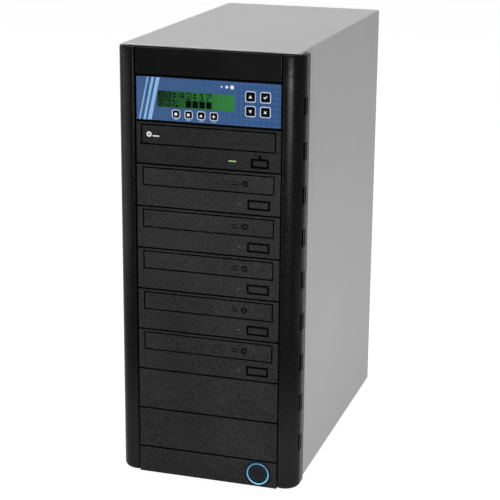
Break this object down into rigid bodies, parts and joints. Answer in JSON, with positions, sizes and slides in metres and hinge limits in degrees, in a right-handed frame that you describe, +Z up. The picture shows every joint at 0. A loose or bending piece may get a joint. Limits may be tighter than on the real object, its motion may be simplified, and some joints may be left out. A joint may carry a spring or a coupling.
{
  "type": "dvd duplicator",
  "caption": "Disc duplicator tower with stacked drives whose trays slide out, a control panel with display and keys, a lit power button, vented front pillars, fans and a mains inlet.",
  "frame": {"origin": "middle of the footprint, on the surface that the feet stand on", "axes": "+Z up, +Y to the back, so the drives face -Y; +X to the right of someone facing the drives"},
  "size_m": [0.189, 0.342, 0.4464],
  "materials": {
    "cover_paint": "satin silver-grey paint",
    "case_steel": "zinc-plated sheet",
    "pillar_plastic": "fine-textured black moulding",
    "trim_plastic": "glossy black moulding",
    "front_plastic": "fine-textured black moulding",
    "panel_plastic": "black moulding",
    "panel_film": "printed blue film",
    "display_glass": "lit green display",
    "circuit_board": "green laminate",
    "key_plastic": "black caps with a white mark",
    "eject_plastic": "black caps",
    "cap_plastic": "glossy black cap",
    "ring_lens": "light-blue lit ring",
    "light_lens": "clear green lens",
    "tray_plastic": "dark grey moulding",
    "fan_plastic": "black moulding",
    "inlet_plastic": "black moulding",
    "rocker_plastic": "black rocker",
    "foot_rubber": "black rubber",
    "screw_steel": "plated steel"
  },
  "bodies": {
    "chassis": {"wrap_cover": "cover_paint", "base_pan": "case_steel", "rear_panel": "case_steel", "left_cage_wall": "case_steel", "right_cage_wall": "case_steel", "psu_case": "case_steel", "drive_cases": "case_steel", "left_pillar": "pillar_plastic", "right_pillar": "pillar_plastic", "header_cover": "trim_plastic", "base_fascia": "front_plastic", "blank_cover_upper": "front_plastic", "blank_cover_lower": "front_plastic", "reader_front": "front_plastic", "writer_1_front": "front_plastic", "writer_2_front": "front_plastic", "writer_3_front": "front_plastic", "writer_4_front": "front_plastic", "writer_5_front": "front_plastic", "panel_bezel": "panel_plastic", "panel_overlay": "panel_film", "lcd_module": "display_glass", "controller_board": "circuit_board", "power_ring": "ring_lens", "status_lights": "light_lens", "exhaust_fan_frame": "fan_plastic", "mains_inlet": "inlet_plastic", "feet": "foot_rubber", "cover_screws": "screw_steel", "drive_screws": "screw_steel"},
    "reader_drawer": {"reader_tray": "tray_plastic", "reader_door": "front_plastic"},
    "writer_1_drawer": {"writer_1_tray": "tray_plastic", "writer_1_door": "front_plastic"},
    "writer_2_drawer": {"writer_2_tray": "tray_plastic", "writer_2_door": "front_plastic"},
    "writer_3_drawer": {"writer_3_tray": "tray_plastic", "writer_3_door": "front_plastic"},
    "writer_4_drawer": {"writer_4_tray": "tray_plastic", "writer_4_door": "front_plastic"},
    "writer_5_drawer": {"writer_5_tray": "tray_plastic", "writer_5_door": "front_plastic"},
    "reader_eject": {"reader_eject": "eject_plastic"},
    "writer_1_eject": {"writer_1_eject": "eject_plastic"},
    "writer_2_eject": {"writer_2_eject": "eject_plastic"},
    "writer_3_eject": {"writer_3_eject": "eject_plastic"},
    "writer_4_eject": {"writer_4_eject": "eject_plastic"},
    "writer_5_eject": {"writer_5_eject": "eject_plastic"},
    "key_up": {"key_up": "key_plastic"},
    "key_down": {"key_down": "key_plastic"},
    "key_enter": {"key_enter": "key_plastic"},
    "key_cancel": {"key_cancel": "key_plastic"},
    "key_record": {"key_record": "key_plastic"},
    "key_stop": {"key_stop": "key_plastic"},
    "key_eject": {"key_eject": "key_plastic"},
    "key_menu": {"key_menu": "key_plastic"},
    "power_button": {"power_button": "cap_plastic"},
    "psu_rocker": {"psu_rocker": "rocker_plastic"},
    "exhaust_fan_rotor": {"exhaust_fan_rotor": "fan_plastic"},
    "psu_fan_rotor": {"psu_fan_rotor": "fan_plastic"}
  },
  "joints": [
    {"name": "reader_tray_slide", "type": "slide", "parent": "chassis", "child": "reader_drawer", "axis": [0, -1, 0], "range_m": [0, 0.14]},
    {"name": "writer_1_tray_slide", "type": "slide", "parent": "chassis", "child": "writer_1_drawer", "axis": [0, -1, 0], "range_m": [0, 0.14]},
    {"name": "writer_2_tray_slide", "type": "slide", "parent": "chassis", "child": "writer_2_drawer", "axis": [0, -1, 0], "range_m": [0, 0.14]},
    {"name": "writer_3_tray_slide", "type": "slide", "parent": "chassis", "child": "writer_3_drawer", "axis": [0, -1, 0], "range_m": [0, 0.14]},
    {"name": "writer_4_tray_slide", "type": "slide", "parent": "chassis", "child": "writer_4_drawer", "axis": [0, -1, 0], "range_m": [0, 0.14]},
    {"name": "writer_5_tray_slide", "type": "slide", "parent": "chassis", "child": "writer_5_drawer", "axis": [0, -1, 0], "range_m": [0, 0.14]},
    {"name": "reader_eject_press", "type": "slide", "parent": "chassis", "child": "reader_eject", "axis": [0, 1, 0], "range_m": [0, 0.0012], "stiffness_N_per_m": 900},
    {"name": "writer_1_eject_press", "type": "slide", "parent": "chassis", "child": "writer_1_eject", "axis": [0, 1, 0], "range_m": [0, 0.0012], "stiffness_N_per_m": 900},
    {"name": "writer_2_eject_press", "type": "slide", "parent": "chassis", "child": "writer_2_eject", "axis": [0, 1, 0], "range_m": [0, 0.0012], "stiffness_N_per_m": 900},
    {"name": "writer_3_eject_press", "type": "slide", "parent": "chassis", "child": "writer_3_eject", "axis": [0, 1, 0], "range_m": [0, 0.0012], "stiffness_N_per_m": 900},
    {"name": "writer_4_eject_press", "type": "slide", "parent": "chassis", "child": "writer_4_eject", "axis": [0, 1, 0], "range_m": [0, 0.0012], "stiffness_N_per_m": 900},
    {"name": "writer_5_eject_press", "type": "slide", "parent": "chassis", "child": "writer_5_eject", "axis": [0, 1, 0], "range_m": [0, 0.0012], "stiffness_N_per_m": 900},
    {"name": "key_up_press", "type": "slide", "parent": "chassis", "child": "key_up", "axis": [0, 1, 0], "range_m": [0, 0.0006], "stiffness_N_per_m": 1800},
    {"name": "key_down_press", "type": "slide", "parent": "chassis", "child": "key_down", "axis": [0, 1, 0], "range_m": [0, 0.0006], "stiffness_N_per_m": 1800},
    {"name": "key_enter_press", "type": "slide", "parent": "chassis", "child": "key_enter", "axis": [0, 1, 0], "range_m": [0, 0.0006], "stiffness_N_per_m": 1800},
    {"name": "key_cancel_press", "type": "slide", "parent": "chassis", "child": "key_cancel", "axis": [0, 1, 0], "range_m": [0, 0.0006], "stiffness_N_per_m": 1800},
    {"name": "key_record_press", "type": "slide", "parent": "chassis", "child": "key_record", "axis": [0, 1, 0], "range_m": [0, 0.0006], "stiffness_N_per_m": 1800},
    {"name": "key_stop_press", "type": "slide", "parent": "chassis", "child": "key_stop", "axis": [0, 1, 0], "range_m": [0, 0.0006], "stiffness_N_per_m": 1800},
    {"name": "key_eject_press", "type": "slide", "parent": "chassis", "child": "key_eject", "axis": [0, 1, 0], "range_m": [0, 0.0006], "stiffness_N_per_m": 1800},
    {"name": "key_menu_press", "type": "slide", "parent": "chassis", "child": "key_menu", "axis": [0, 1, 0], "range_m": [0, 0.0006], "stiffness_N_per_m": 1800},
    {"name": "power_button_press", "type": "slide", "parent": "chassis", "child": "power_button", "axis": [0, 1, 0], "range_m": [0, 0.002], "stiffness_N_per_m": 900},
    {"name": "psu_rocker_tip", "type": "hinge", "parent": "chassis", "child": "psu_rocker", "pos_m": [0.05, 0.1655, 0.059], "axis": [-1, 0, 0], "range_deg": [0, 16]},
    {"name": "exhaust_fan_spin", "type": "hinge", "parent": "chassis", "child": "exhaust_fan_rotor", "pos_m": [0, 0.155, 0.193], "axis": [0, 1, 0], "continuous": true},
    {"name": "psu_fan_spin", "type": "hinge", "parent": "chassis", "child": "psu_fan_rotor", "pos_m": [-0.03, 0.155, 0.047], "axis": [0, 1, 0], "continuous": true}
  ]
}
